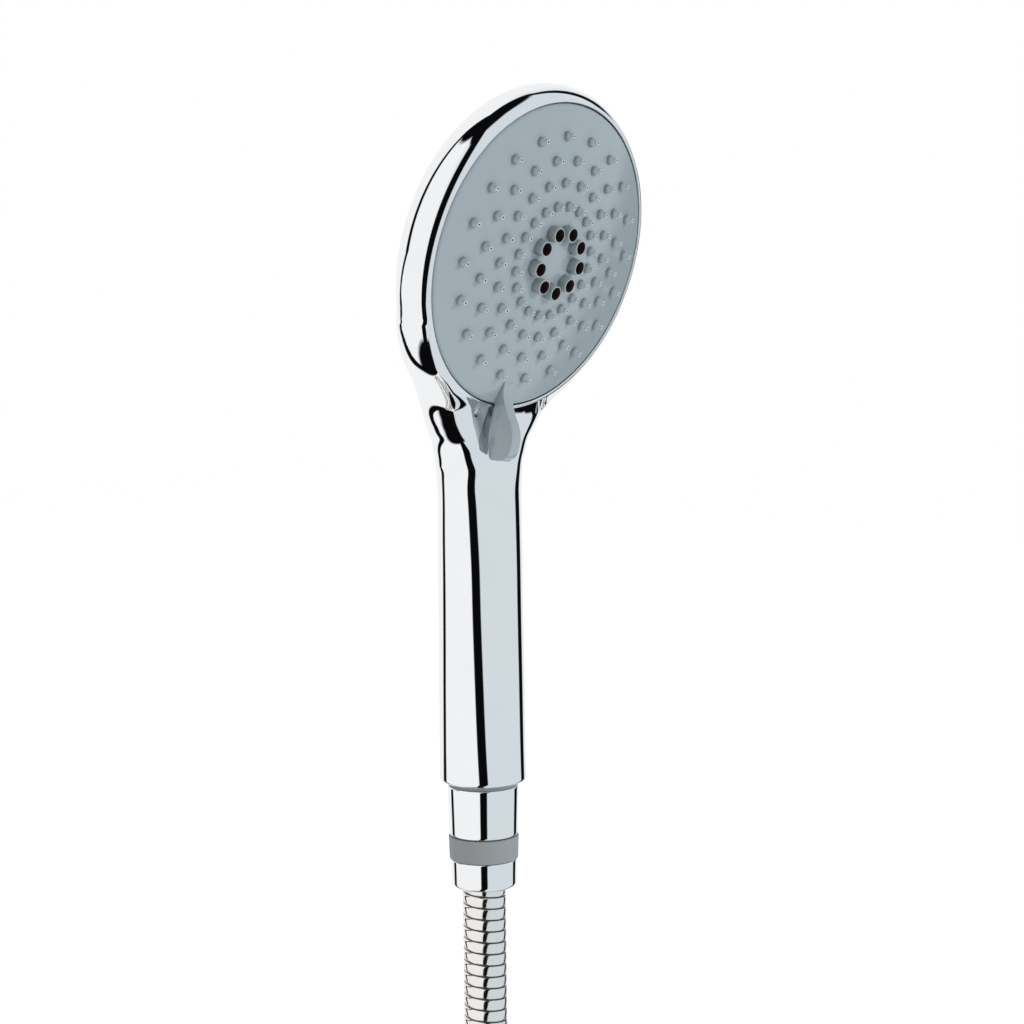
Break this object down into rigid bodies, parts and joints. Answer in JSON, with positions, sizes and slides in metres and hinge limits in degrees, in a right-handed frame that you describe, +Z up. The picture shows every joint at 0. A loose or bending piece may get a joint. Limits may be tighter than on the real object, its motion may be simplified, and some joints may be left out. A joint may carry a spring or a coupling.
{
  "type": "handheld shower head",
  "caption": "Handheld shower head with a domed spray face, click lever, round handle and spiral metal hose on a conical nut.",
  "frame": {"origin": "on the axis of the conical hose nut, in the plane of its wide end, where it meets the handle", "axes": "+Z up along the handle towards the head, -Y the way the spray face looks, X across"},
  "size_m": [0.1797, 0.1155, 0.5034],
  "materials": {
    "chrome": "bright chrome plating on ABS",
    "chrome_brass": "bright chrome plating on brass",
    "face_grey": "satin moulded",
    "nozzle_grey": "soft silicone",
    "ring_grey": "matt moulded",
    "white_plastic": "moulded acetal",
    "dark_plastic": "moulded glass-filled plastic",
    "seal_rubber": "EPDM",
    "tie_rubber": "moulded strap",
    "steel": "stainless",
    "hose_steel": "chromed spiral-wound steel",
    "brass": "turned"
  },
  "bodies": {
    "handset": {"outer_shell": "chrome", "manifold": "dark_plastic", "manifold_screws": "steel", "pivot_washer": "steel", "pivot_screw": "steel", "port_seal": "seal_rubber", "seal_spring": "steel", "detent_spring": "steel", "edge_seal": "dark_plastic", "waterway_tube": "white_plastic", "upper_o_ring": "seal_rubber", "lower_o_ring": "seal_rubber", "inlet_connector": "ring_grey", "flow_regulator": "dark_plastic", "regulator_o_ring": "seal_rubber", "inlet_washer": "seal_rubber", "strainer_mesh": "steel", "cone_nut": "chrome_brass", "swivel_ring": "ring_grey", "swivel_stub": "brass", "swivel_o_ring": "seal_rubber", "swivel_circlip": "steel"},
    "spray_head": {"spray_plate": "face_grey", "nozzle_mat": "nozzle_grey", "massage_nozzles": "face_grey", "selector_lever": "face_grey", "channel_plate": "white_plastic", "distributor_disc": "white_plastic"},
    "turbine": {"turbine_wheel": "white_plastic"},
    "click_ball": {"detent_ball": "steel"},
    "hose_body": {"hose_sleeve": "chrome_brass", "hose_ferrule": "brass", "hose": "hose_steel", "hose_coil": "hose_steel", "hose_tail": "hose_steel", "coil_tie": "tie_rubber", "mixer_ferrule": "chrome_brass", "mixer_nipple": "brass", "mixer_washer": "seal_rubber"},
    "union_nut": {"mixer_nut": "chrome_brass"}
  },
  "joints": [
    {"name": "spray_select", "type": "hinge", "parent": "handset", "child": "spray_head", "pos_m": [0, -0.0266, 0.1747], "axis": [0, -0.9703, -0.2419], "range_deg": [-18, 36]},
    {"name": "turbine_spin", "type": "hinge", "parent": "spray_head", "child": "turbine", "pos_m": [0, -0.0266, 0.1747], "axis": [0, -0.9703, -0.2419], "continuous": true},
    {"name": "detent_click", "type": "slide", "parent": "handset", "child": "click_ball", "axis": [0, -0.9703, -0.2419], "range_m": [0, 0.0008], "stiffness_N_per_m": 300},
    {"name": "hose_swivel", "type": "hinge", "parent": "handset", "child": "hose_body", "pos_m": [0, 0, -0.025], "axis": [0, 0, 1], "continuous": true},
    {"name": "mixer_nut_spin", "type": "hinge", "parent": "hose_body", "child": "union_nut", "pos_m": [-0.0296, 0.062, -0.229], "axis": [0, 0, 1], "continuous": true}
  ]
}
